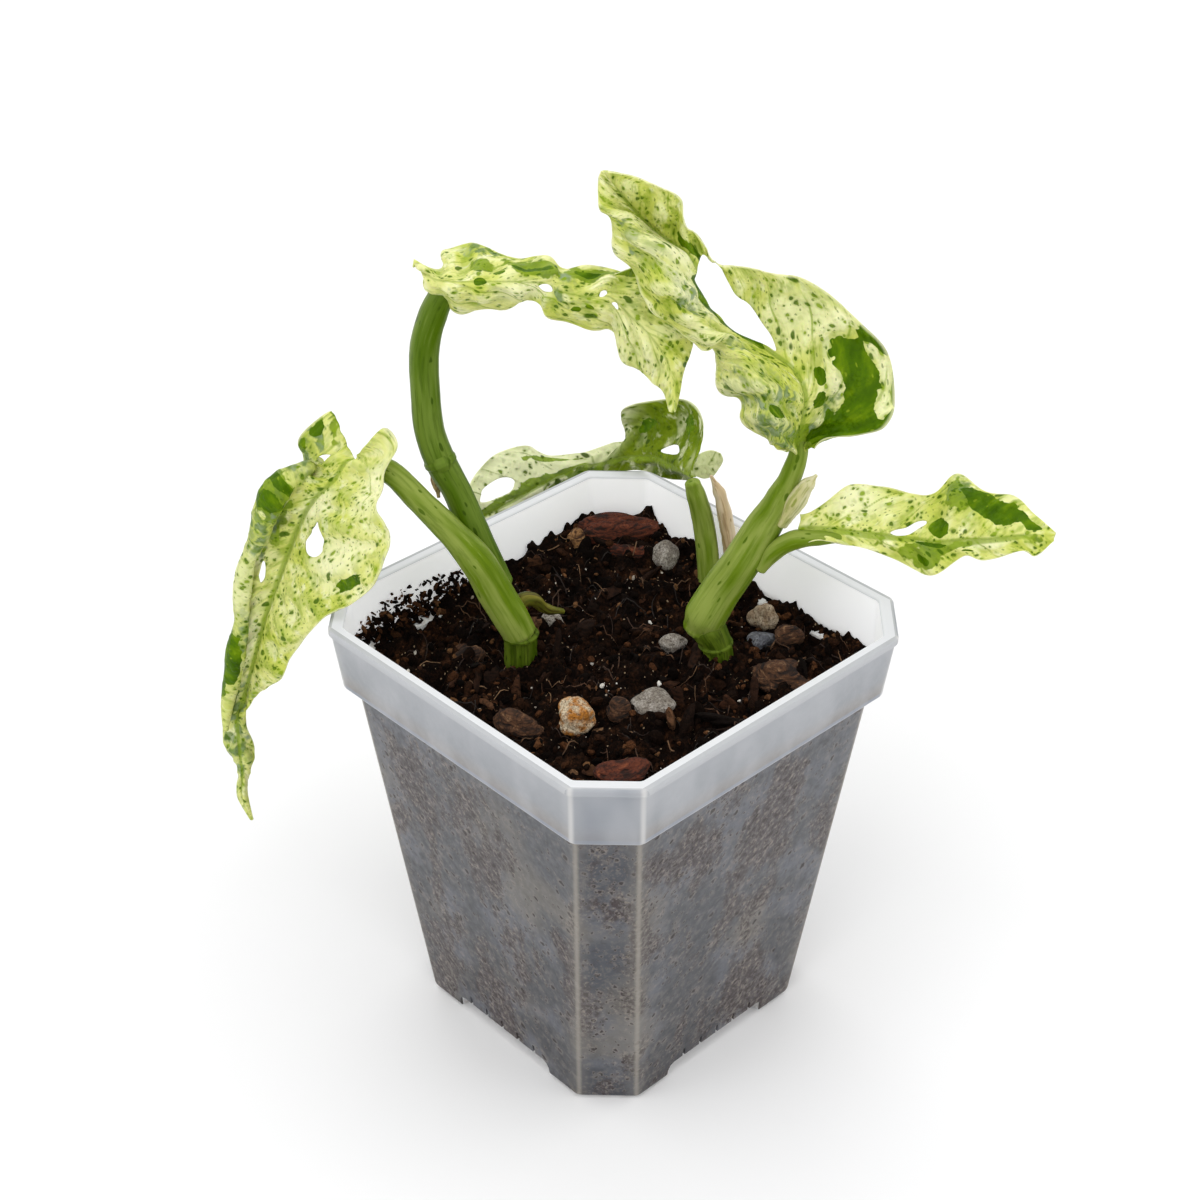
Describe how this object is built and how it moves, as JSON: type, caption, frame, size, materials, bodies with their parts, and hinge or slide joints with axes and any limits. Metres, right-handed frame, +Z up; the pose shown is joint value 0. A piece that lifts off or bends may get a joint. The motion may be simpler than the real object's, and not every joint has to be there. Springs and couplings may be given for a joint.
{
  "type": "potted monstera adansonii",
  "caption": "Potted variegated aroid: a square clear plastic pot of bark mix with rooted cuttings, jointed green stalks and cream, green-freckled leaves with holes.",
  "frame": {"origin": "on the floor, on the upright axis of the pot", "axes": "+Z up, X and Y square to the walls of the pot"},
  "size_m": [0.107, 0.1326, 0.1913],
  "materials": {
    "clear_plastic": "frosted",
    "potting_mix": "rough, moist",
    "stem": "satin",
    "sheath": "satin",
    "dry_sheath": "matt",
    "variegated_leaf": "satin",
    "green_leaf": "satin",
    "bark": "rough",
    "stone": "rough",
    "amber_stone": "rough"
  },
  "bodies": {
    "root": {"pot": "clear_plastic", "soil": "potting_mix", "stem_left": "stem", "petiole_left": "stem", "petiole_tall": "stem", "cataphyll_left": "dry_sheath", "bud_left": "stem", "stem_right": "stem", "petiole_right": "stem", "sheath_right": "sheath", "petiole_side": "stem", "stem_back": "stem", "sheath_back": "sheath", "leaf_left": "variegated_leaf", "leaf_upper": "variegated_leaf", "leaf_top": "variegated_leaf", "leaf_right": "variegated_leaf", "leaf_back": "green_leaf", "bark_back": "bark", "bark_reddish": "bark", "bark_tan": "bark", "bark_fibrous": "bark", "bark_front": "bark", "bark_left": "bark", "bark_dark": "bark", "bark_right": "bark", "stone_amber": "amber_stone", "stone_amber_left": "amber_stone", "pumice_front": "stone", "pumice_middle": "stone", "pumice_bud": "stone", "pumice_beige": "stone", "pumice_back": "stone", "pumice_blue": "stone"}
  },
  "joints": []
}
